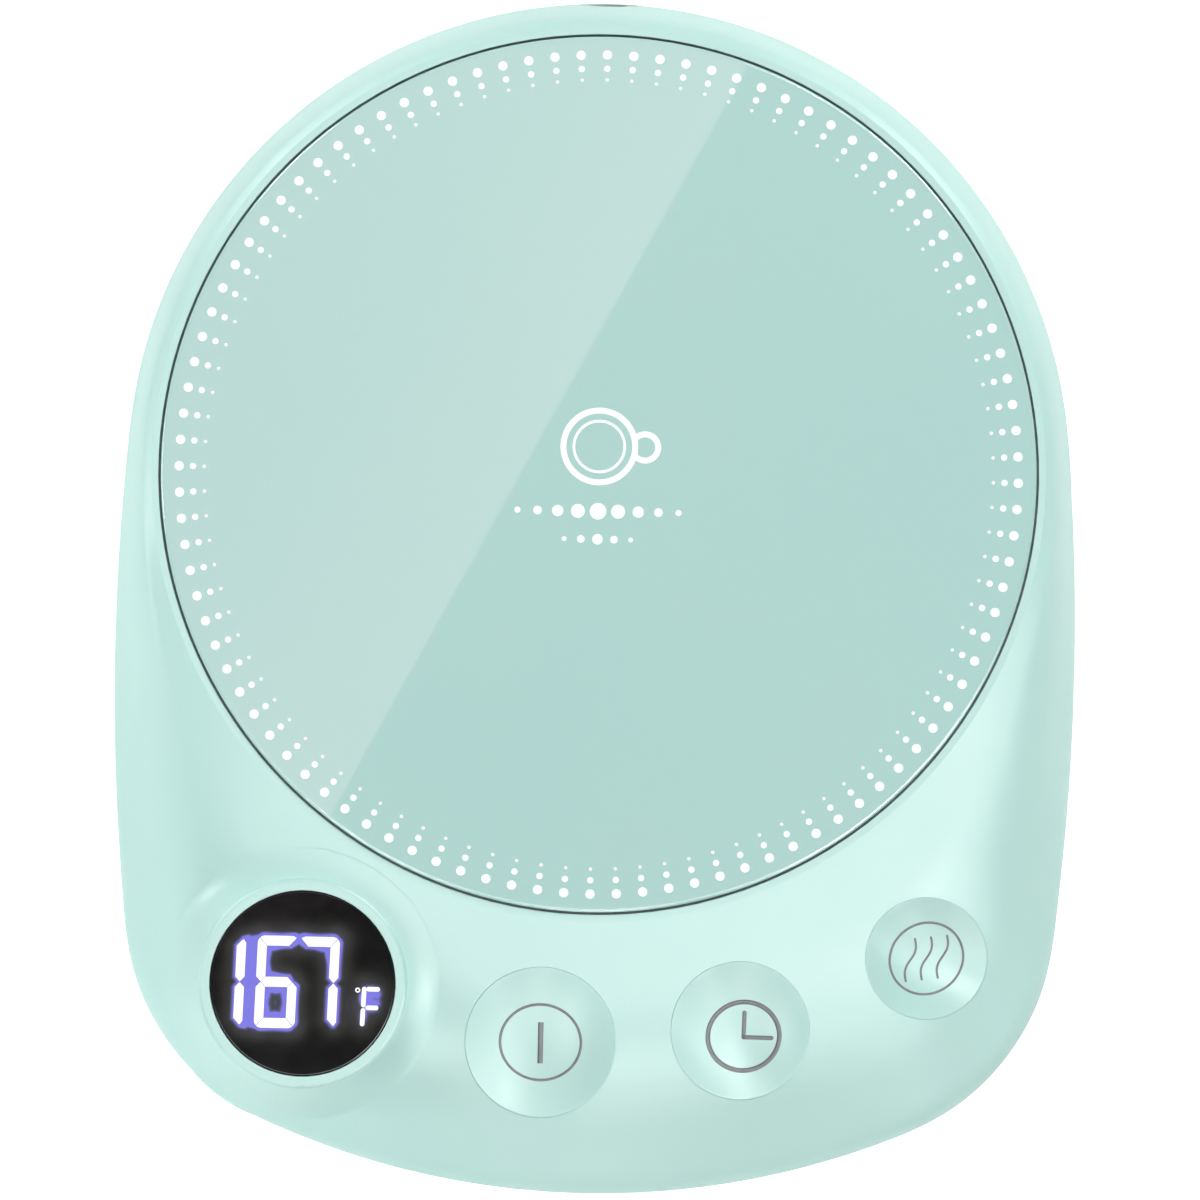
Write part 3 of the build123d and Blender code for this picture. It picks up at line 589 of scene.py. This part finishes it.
def pushCap(name):
    # dished cap with an eased rim, a hollow under its roof and a stem: a profile turned about the cap's
    # axis, whose top and roof follow dishHeight
    c = capShape
    x, y, radius = buttonPlaces[name]
    reach = radius + boreClearance - c["gap"]
    bend = np.linspace(0, np.pi / 2, c["rimSteps"])[1:]
    dish = np.linspace(0, reach - c["edgeRound"], c["dishSteps"])
    rim = reach - c["edgeRound"] + c["edgeRound"] * np.sin(bend)
    roof = np.linspace(reach - c["wall"], c["stem"], c["roofSteps"])
    radii = np.concatenate([dish, rim, [reach, reach - c["wall"]], roof, [c["stem"], 0]])
    angle = np.linspace(0, 2 * np.pi, c["turns"], endpoint=False)
    out = np.concatenate([dish, rim, roof])
    top = dishHeight(name, x + np.outer(out, np.cos(angle)), y + np.outer(out, np.sin(angle)))
    rimStart, roofStart = len(dish), len(dish) + len(rim)
    top[rimStart:roofStart] -= c["edgeRound"] * (1 - np.cos(bend))[:, None]
    top[roofStart:] -= c["roof"]
    level = np.ones((1, c["turns"]))
    heights = np.vstack([top[:roofStart], level * c["bottom"], level * c["bottom"],
                         top[roofStart:], level * c["stemBottom"], level * c["stemBottom"]])
    points, faces = turned(radii, heights, c["turns"])
    points, faces = joined([(points + [x, y, 0], faces)] + [capEar(x, y, radius, side) for side in (-1, 1)])
    piece = meshPiece(name + "Cap", points, faces, finishes["shell_plastic"], name + "_cap")
    sharpened(piece, c["crease"])
    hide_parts(name + "_button")


for capName in buttonPlaces:
    pushCap(capName)
print("caps drawn")

symbolInk = {"lift": 0.012, "depth": 0.03, "ringSteps": 160}
powerSymbol = {"radius": 4.63, "line": 0.15, "squash": 0.935, "barLength": 5.04, "barHalf": 0.31,
               "barUp": -0.07, "barSteps": 40}
timerSymbol = {"right": 0.39, "up": -0.63, "radius": 4.1, "line": 0.27, "squash": 0.955, "handHalf": 0.24,
               "corner": (0.0, -0.11), "upHand": (0.06, 2.72), "sideHand": (3.19, -0.15)}
heatSymbol = {"radius": 4.31, "line": 0.135, "squash": 0.931, "waveHalf": 0.125, "step": (1.83, 0.23),
              "way": (0.167, 0.986), "tall": 5.2, "sway": 0.37, "waveSteps": 60}


def capInk(name, parts, body):
    points, faces = joined(parts)
    piece = meshPiece(name, points, faces, greyInk, body)


def onCap(name):
    # height of the ink at x, y: a little over the dish
    return lambda x, y: dishHeight(name, x, y) + symbolInk["lift"]


def squashedCircle(x, y, radius, squash):
    # a circle printed on a dish that falls away from the plate, seen from above: point less
    # (1 - cosine of the slope) of its reach along the fall
    circle = circlePath(0, 0, radius, steps=symbolInk["ringSteps"])
    fall = np.array([x, y]) / math.hypot(x, y)
    return circle - np.outer(circle @ fall * (1 - squash), fall) + [x, y]


def powerMark():
    # ring with an upright bar
    s = powerSymbol
    x, y, _ = buttonPlaces["power"]
    half = s["barLength"] / 2 * s["squash"]
    ink = onCap("power"), symbolInk["depth"]
    bar = linePath((x, y + s["barUp"] + half), (x, y + s["barUp"] - half), 0, s["barSteps"])
    capInk("powerMark", [
        ribbon(squashedCircle(x, y, s["radius"], s["squash"]), s["line"], *ink, closed=True),
        ribbon(bar, s["barHalf"], *ink, square=True),
    ], "power_cap")


def timerMark():
    # clock face with two hands at three o'clock
    s = timerSymbol
    x, y, _ = buttonPlaces["timer"]
    x, y = x + s["right"], y + s["up"]
    ink = onCap("timer"), symbolInk["depth"]
    corner, up, side = (np.array(s[key]) + [x, y] for key in ("corner", "upHand", "sideHand"))
    capInk("timerMark", [
        ribbon(squashedCircle(x, y, s["radius"], s["squash"]), s["line"], *ink, closed=True),
        ribbon(linePath(corner, up, s["handHalf"]), s["handHalf"], *ink),
        ribbon(linePath(corner, side, s["handHalf"]), s["handHalf"], *ink),
    ], "timer_cap")


def heatMark():
    # ring with three rising waves: each point is middle + way tall t + across sway sin(2 pi t)
    s = heatSymbol
    x, y, _ = buttonPlaces["heat"]
    ink = onCap("heat"), symbolInk["depth"]
    t = np.linspace(-0.5, 0.5, s["waveSteps"])[:, None]
    way = np.array(s["way"])
    across = np.array([way[1], -way[0]])
    wave = way * s["tall"] * t + across * s["sway"] * np.sin(2 * np.pi * t) + [x, y]
    capInk("heatMark", [
        ribbon(squashedCircle(x, y, s["radius"], s["squash"]), s["line"], *ink, closed=True),
        *(ribbon(wave + np.array(s["step"]) * place, s["waveHalf"], *ink) for place in (-1, 0, 1)),
    ], "heat_cap")


powerMark()
timerMark()
heatMark()
print("symbols printed on the caps")

# ---- display: window, digits and the light round them

ringFoot = {"inner": 11.95, "ring": 12.0, "outer": 15.9, "border": 16.3, "top": 23.36, "lift": 0.012,
            "fadeFrom": 14.5, "fade": 0.042, "depth": 0.12, "borderRings": 6, "rings": 60, "turns": 320}


def footSurface():
    # the moulding's concave foot, drawn finer: deck + (top - deck) share^2, where the share runs from 0
    # at the outer edge to 1 at the ring, and a border that dives under the deck
    f = ringFoot
    border = np.linspace(f["border"], f["outer"], f["borderRings"])
    radii = np.concatenate([border, np.linspace(f["outer"], f["inner"], f["rings"])[1:]])
    angles = np.linspace(0, 2 * np.pi, f["turns"], endpoint=False)
    r, angle = np.meshgrid(radii, angles, indexing="ij")
    x, y = displayMiddle[0] + r * np.cos(angle), displayMiddle[1] + r * np.sin(angle)
    deck = deckHeight(x, y)
    share = np.clip((f["outer"] - r) / (f["outer"] - f["ring"]), 0, 1)
    fade = f["fade"] * (np.clip(r - f["fadeFrom"], 0, None) / (f["border"] - f["fadeFrom"])) ** 2
    height = deck + (f["top"] - deck) * share ** 2 + f["lift"] - fade
    upper, lower = (np.stack([x, y, tall], axis=-1) for tall in (height, height - f["depth"]))
    points = np.stack([upper, lower[::-1]]).reshape(-1, 3)
    faces = gridFaces(2 * len(radii), f["turns"], closeRows=True, closeColumns=True)
    piece = meshPiece("footSurface", points, faces, finishes["shell_plastic"])


footSurface()
print("ring foot drawn")

window = {"radius": 10.58, "rim": 0.18, "hold": 0.01, "rings": 110, "rimSteps": 6, "turns": 300}
# widths in mm of the bells of light round the lit bars, and how much of each is added
spill = {"near": 0.709, "wide": 1.2, "far": 1.35, "aroundShare": 0.88, "farShare": 0.35, "unitShare": 0.62}
digits = {"wide": 3.62, "tall": 9.4, "stroke": 1.14, "upright": 1.05, "gap": 0.035, "lean": 0.03,
          "depth": 0.02, "round": 0.85, "arcSteps": 6, "tipIn": 0.32, "tipDown": 0.42, "tipSlope": 0.42,
          "tipHalf": 0.05}
digitCells = (("1", -10.8, 0.05), ("6", -4.8, 0.12), ("7", -0.1, 0.09))  # digit, left, middle height
unitMark = {"x": 7.06, "top": -0.5, "tall": 4.25, "wide": 1.55, "lowArm": 0.95, "half": 0.26, "lean": 0.04,
            "notch": 0.05, "ringX": 6.32, "ringY": -0.63, "ringRadius": 0.215, "ringHalf": 0.08,
            "ringSteps": 32}
# lit bars of each digit; bars in one group follow on from each other
litBars = {"1": ("bc",), "6": ("a", "c", "d", "ef", "g"), "7": ("a", "bc")}
looseEnds = ("1b", "1c", "7c")


def barOutline(letter, loose):
    # corners of a bar, anticlockwise, in a cell with its left and right middle lines one width apart:
    # a top, b c right, d bottom, e f left, g middle; the cell's corners are rounded and mitred at
    # 45 degrees, and a loose end of an upright bar comes to a point
    d = digits
    wide, half, flat, side, gap = d["wide"], d["tall"] / 2, d["stroke"] / 2, d["upright"] / 2, d["gap"]
    slip, steps = gap / d["round"], d["arcSteps"]
    turn = np.concatenate([np.linspace(0, np.pi / 4 - slip, steps),
                           np.linspace(np.pi / 4 + slip, np.pi / 2, steps)])
    arc = np.column_stack([np.cos(turn) - 1, np.sin(turn) - 1]) * d["round"] + [wide + side, half + flat]
    rightEnd = arc[steps:]
    leftEnd = np.column_stack([wide - rightEnd[::-1, 0], rightEnd[::-1, 1]])
    top = np.vstack([rightEnd, leftEnd, [(side + gap, half - flat), (wide - side - gap, half - flat)]])
    outerEnd = np.vstack([arc[:steps], [(wide - side, half - flat - gap)]])
    if loose:
        tip = np.array([wide + side - d["tipIn"], half + flat - d["tipDown"]])
        away = 2 * side - d["tipIn"]
        outerEnd = np.array([tip + [d["tipIn"], -d["tipSlope"]], tip + [d["tipHalf"], 0],
                             tip - [d["tipHalf"], 0], tip - [away, away]])
    right = np.vstack([[(wide + side, gap + flat)], outerEnd, [(wide - side, gap + flat), (wide, gap)]])
    middle = np.array([(gap, 0), (side + gap, -flat), (wide - side - gap, -flat), (wide - gap, 0),
                       (wide - side - gap, flat), (side + gap, flat)])
    shape = top if letter in "ad" else middle if letter == "g" else right
    flipX, flipY = letter in "ef", letter in "cde"
    x = wide - shape[:, 0] if flipX else shape[:, 0]
    shape = np.column_stack([x, -shape[:, 1] if flipY else shape[:, 1]])
    return shape[::-1] if flipX != flipY else shape


def leaned(shape, left, middleY, lean):
    # moved to its cell and slanted: x + left + lean y, y + middle
    return np.column_stack([shape[:, 0] + left + lean * shape[:, 1], shape[:, 1] + middleY])


def litBarGroups():
    # outlines of the lit bars in their places, group by group
    return [[leaned(barOutline(letter, (digit + letter) in looseEnds), left, middleY, digits["lean"])
             for letter in group]
            for digit, left, middleY in digitCells for group in litBars[digit]]


def flatPlate(outline, top, depth):
    # thin plate with that outline: one ring of points at its top and one at its foot
    count = len(outline)
    rim = outline + np.array(displayMiddle)
    points = np.vstack([np.column_stack([rim, np.full(count, height)]) for height in (top, top - depth)])
    i = np.arange(count)
    walls = np.column_stack([i, i + count, (i + 1) % count + count, (i + 1) % count]).tolist()
    return points, [list(range(count)), list(range(2 * count - 1, count - 1, -1))] + walls


def unitLines():
    # middle lines of the letter's four strokes: the stem's two halves and the arms
    u = unitMark
    half = u["half"]
    waist = -u["tall"] / 2
    shape = np.array([[0, half], [0, waist + u["notch"]], [0, waist - u["notch"]], [0, -u["tall"]],
                      [half, 0], [u["wide"] + half, 0],
                      [half, waist], [u["wide"] * u["lowArm"] + half, waist]])
    return leaned(shape, u["x"], u["top"], u["lean"]).reshape(4, 2, 2)


def litDigits():
    # the bars of the digits as thin plates, and the unit as ribbons of light
    top, depth = lensHigh[2] + digits["depth"], digits["depth"]
    u = unitMark
    flat = lambda x, y: np.full(x.shape, top)
    here = np.array(displayMiddle)
    parts = [flatPlate(shape, top, depth) for group in litBarGroups() for shape in group]
    parts += [ribbon(linePath(a + here, b + here, 0), u["half"], flat, depth) for a, b in unitLines()]
    ring = circlePath(here[0] + u["ringX"], here[1] + u["ringY"], u["ringRadius"], steps=u["ringSteps"])
    parts.append(ribbon(ring, u["ringHalf"], flat, depth, closed=True))
    points, faces = joined(parts)
    piece = meshPiece("litDigits", points, faces, litDigit(), smooth=False)


def toLines(points, lines):
    # way from each point to the nearest place on any of some straight stretches:
    # start + share (end - start) - point
    start, end = lines[:, None, 0], lines[:, None, 1]
    run = end - start
    share = np.clip(((points - start) * run).sum(axis=2) / (run * run).sum(axis=2), 0, 1)
    ways = start + share[..., None] * run - points
    nearest = np.argmin(np.linalg.norm(ways, axis=2), axis=0)
    return ways[nearest, np.arange(len(points))]


def spilledLight(points):
    # each group of bars gives a bell, weight exp(-(gap / width)^2); violet is the strongest near bell
    # plus the light that comes from more than one side, sum(bell) - |sum(bell direction)|; grey is a
    # wider sum
    s = spill
    groups, unit = litBarGroups(), unitLines()
    rims = [np.concatenate([np.stack([shape, np.roll(shape, -1, axis=0)], axis=1) for shape in group])
            for group in groups]
    ways = np.stack([toLines(points, lines) for lines in rims + [line[None] for line in unit]])
    slim, weight = (np.repeat(pair, [len(groups), len(unit)])[:, None]
                    for pair in ([0.0, unitMark["half"]], [1.0, s["unitShare"]]))
    length = np.linalg.norm(ways, axis=2)
    gap = np.maximum(length - slim, 0)
    near, wide, far = (weight * np.exp(-(gap / s[key]) ** 2) for key in ("near", "wide", "far"))
    pull = (wide[..., None] * ways / np.maximum(length, 1e-6)[..., None]).sum(axis=0)
    around = wide.sum(axis=0) - np.linalg.norm(pull, axis=1)
    return near.max(axis=0) + s["aroundShare"] * around, s["farShare"] * far.sum(axis=0)


def smokedLens():
    # flat disc with a small rounded rim; the light that spills round the lit bars is kept on its points
    w = window
    top, low = lensHigh[2], lensLow[2]
    bend = np.linspace(0, np.pi / 2, w["rimSteps"])
    inner = w["radius"] - w["rim"]
    flat = np.append(np.linspace(0, inner, w["rings"])[:-1], inner - w["hold"])
    radii = np.concatenate([flat, inner + w["rim"] * np.sin(bend), [w["radius"], 0]])
    heights = np.concatenate([np.full(len(flat), top), top - w["rim"] * (1 - np.cos(bend)), [low, low]])
    points, faces = turned(radii, heights, w["turns"])
    violet, grey = spilledLight(points[:, :2])
    lit = points[:, 2] > low
    piece = meshPiece("smokedLens", points + [*displayMiddle, 0], faces, finishes["smoked_window"],
                      values={"nearGlow": np.minimum(violet, 1) * lit, "farGlow": np.minimum(grey, 1) * lit})
    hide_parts("display_lens")


smokedLens()
litDigits()
print("display lit")

# ---- floor, lamps and camera

studio = {"floorSize": 6.0, "floorShade": 0.86, "seenLift": 0.9, "givenLift": 0.323, "lampDistance": 1.2}
# azimuth is counted from +X, both angles in degrees; a sheen lamp shows only as gloss and lights nothing
lamps = {
    "left": {"azimuth": 180, "elevation": 12, "size": 0.34, "watts": 5.9},
    "frontLow": {"azimuth": 270, "elevation": 12, "size": 0.34, "watts": 3.05},
    "rearRight": {"azimuth": 60, "elevation": 35, "size": 0.42, "watts": 8.1},
    "frontLeftTop": {"azimuth": 240, "elevation": 76, "size": 0.34, "watts": 2.9},
    "frontRightTop": {"azimuth": 300, "elevation": 76, "size": 0.34, "watts": 3.5},
}
sheenLamps = {
    "rimLeft": {"azimuth": 135, "elevation": 12, "size": 0.34, "watts": 12.0},
    "rimRight": {"azimuth": 45, "elevation": 12, "size": 0.34, "watts": 12.0},
    "frontRightLowSheen": {"azimuth": 300, "elevation": 12, "size": 0.34, "watts": 2.8},
    "rightLowSheen": {"azimuth": 330, "elevation": 12, "size": 0.34, "watts": 2.35},
    "frontLeftSheen": {"azimuth": 240, "elevation": 35, "size": 0.42, "watts": 7.9},
    "frontSheen": {"azimuth": 270, "elevation": 35, "size": 0.42, "watts": 4.95},
    "frontRightSheen": {"azimuth": 300, "elevation": 35, "size": 0.42, "watts": 3.7},
    "rightSheen": {"azimuth": 330, "elevation": 35, "size": 0.42, "watts": 4.85},
    "frontRightHighSheen": {"azimuth": 315, "elevation": 58, "size": 0.42, "watts": 10.6},
}
view = {"distance": 5.0, "frameWidth": 0.1370, "middle": (0.45 * mm, -0.17 * mm), "roll": 1.2, "sensor": 36.0,
        "clipEnd": 20.0}


def bareMaterial(name):
    # material with nothing but its output
    material = bpy.data.materials.new(name)
    material.use_nodes = True
    tree = material.node_tree
    tree.nodes.remove(tree.nodes["Principled BSDF"])
    return material, tree


def paleFloor():
    # white floor: lit by the lamps and lifted to white for the camera; clear when seen from below
    reach = studio["floorSize"] / 2
    shade = studio["floorShade"]
    mesh = bpy.data.meshes.new("paleFloor")
    corners = [(-reach, -reach, 0), (reach, -reach, 0), (reach, reach, 0), (-reach, reach, 0)]
    mesh.from_pydata(corners, [], [(0, 1, 2, 3)])
    floor = bpy.data.objects.new("paleFloor", mesh)
    bpy.context.collection.objects.link(floor)
    material, tree = bareMaterial("paleFloor")
    rays = addNode(tree, "ShaderNodeLightPath")
    lift = addNode(tree, "ShaderNodeMapRange", {
        "Value": rays.outputs["Is Camera Ray"], "To Min": studio["givenLift"], "To Max": studio["seenLift"]})
    matt = addNode(tree, "ShaderNodeBsdfDiffuse", {"Color": (shade, shade, shade, 1)})
    shine = addNode(tree, "ShaderNodeEmission", {"Color": (1, 1, 1, 1), "Strength": lift.outputs["Result"]})
    both = addNode(tree, "ShaderNodeAddShader", {0: matt.outputs[0], 1: shine.outputs[0]})
    below = addNode(tree, "ShaderNodeNewGeometry").outputs["Backfacing"]
    clear = addNode(tree, "ShaderNodeBsdfTransparent")
    seen = addNode(tree, "ShaderNodeMixShader", {0: below, 1: both.outputs[0], 2: clear.outputs[0]})
    tree.links.new(seen.outputs[0], tree.nodes["Material Output"].inputs["Surface"])
    mesh.materials.append(material)


def whiteWorld():
    # white to the camera alone, so that the lamps do all the lighting
    world = bpy.data.worlds.new("whiteWorld")
    world.use_nodes = True
    tree = world.node_tree
    rays = addNode(tree, "ShaderNodeLightPath")
    back = tree.nodes["Background"]
    back.inputs["Color"].default_value = (1, 1, 1, 1)
    tree.links.new(rays.outputs["Is Camera Ray"], back.inputs["Strength"])
    bpy.context.scene.world = world


def softLamp(name, azimuth, elevation, size, watts):
    # round area lamp that looks at the middle of the warmer
    light = bpy.data.lights.new(name, "AREA")
    light.shape = "DISK"
    light.size = size
    light.energy = watts
    lamp = bpy.data.objects.new(name, light)
    turn, rise = math.radians(azimuth), math.radians(elevation)
    aim = np.array([math.cos(rise) * math.cos(turn), math.cos(rise) * math.sin(turn), math.sin(rise)])
    lamp.location = aim * studio["lampDistance"]
    lamp.rotation_euler = (math.pi / 2 - rise, 0, turn + math.pi / 2)
    bpy.context.collection.objects.link(lamp)
    return lamp


def flagRimLamps():
    # the two lamps for the rim are kept off the hollow foot of the display's ring, where they would glare
    shaded = bpy.data.collections.new("shadedFromRimLamps")
    shaded.objects.link(bpy.data.objects["footSurface"])
    shaded.collection_objects[0].light_linking.link_state = "EXCLUDE"
    for lampName in ("rimLeft", "rimRight"):
        bpy.data.objects[lampName].light_linking.receiver_collection = shaded


def overheadCamera():
    # long lens straight above, so that nothing leans away
    data = bpy.data.cameras.new("overheadCamera")
    data.sensor_width = view["sensor"]
    data.lens = view["sensor"] * (view["distance"] - plateTop * mm) / view["frameWidth"]
    data.clip_end = view["clipEnd"]
    camera = bpy.data.objects.new("overheadCamera", data)
    camera.location = (*view["middle"], view["distance"])
    camera.rotation_euler = (0, 0, math.radians(view["roll"]))
    bpy.context.collection.objects.link(camera)
    bpy.context.scene.camera = camera


glint = {"edgeTop": (14.8, 47.1), "edgeFoot": (-29.2, -36.0), "height": 400.0, "reach": 160.0,
         "lowest": -46.3, "colour": (1.0, 0.62, 0.68, 1), "strength": 2.2, "fade": 75.0, "fadedShare": 0.35}


def glintCard():
    # bright card over the left of the plate, seen only by mirror rays: its straight edge crosses the
    # glass, and it fades with the distance from that edge
    g = glint
    top, foot = np.array(g["edgeTop"]), np.array(g["edgeFoot"])
    way = (top - foot) / np.linalg.norm(top - foot)
    out = np.array([-way[1], way[0]])
    low = foot + way * (g["lowest"] - foot[1]) / way[1]
    high = top + way * g["reach"]
    flat = np.array([low, high, high + out * g["reach"], low - [g["reach"], 0]])
    points = np.column_stack([flat, np.full(4, g["height"])])
    mesh = bpy.data.meshes.new("glintCard")
    mesh.from_pydata(placed(points), [], [(0, 1, 2, 3)])
    card = bpy.data.objects.new("glintCard", mesh)
    bpy.context.collection.objects.link(card)
    material, tree = bareMaterial("glintCard")
    place = addNode(tree, "ShaderNodeTexCoord").outputs["Object"]
    edge = (top + foot) / 2 * mm + plateMiddle[:2]
    off = addNode(tree, "ShaderNodeVectorMath", {0: place, 1: (*edge, 0)}, operation="SUBTRACT")
    dot = addNode(tree, "ShaderNodeVectorMath", {0: off.outputs["Vector"], 1: (*out, 0)},
                  operation="DOT_PRODUCT")
    fade = addNode(tree, "ShaderNodeMapRange", {
        "Value": dot.outputs["Value"], "From Max": g["fade"] * mm,
        "To Min": g["strength"], "To Max": g["strength"] * g["fadedShare"]})
    shine = addNode(tree, "ShaderNodeEmission", {"Color": g["colour"], "Strength": fade.outputs["Result"]})
    tree.links.new(shine.outputs[0], tree.nodes["Material Output"].inputs["Surface"])
    mesh.materials.append(material)
    card.visible_camera = card.visible_diffuse = card.visible_shadow = card.visible_transmission = False


paleFloor()
whiteWorld()
for lampName, lamp in lamps.items():
    softLamp(lampName, **lamp)
for lampName, lamp in sheenLamps.items():
    softLamp(lampName, **lamp).visible_diffuse = False
flagRimLamps()
glintCard()
overheadCamera()
bpy.context.scene.view_settings.view_transform = "Standard"
print("studio set")
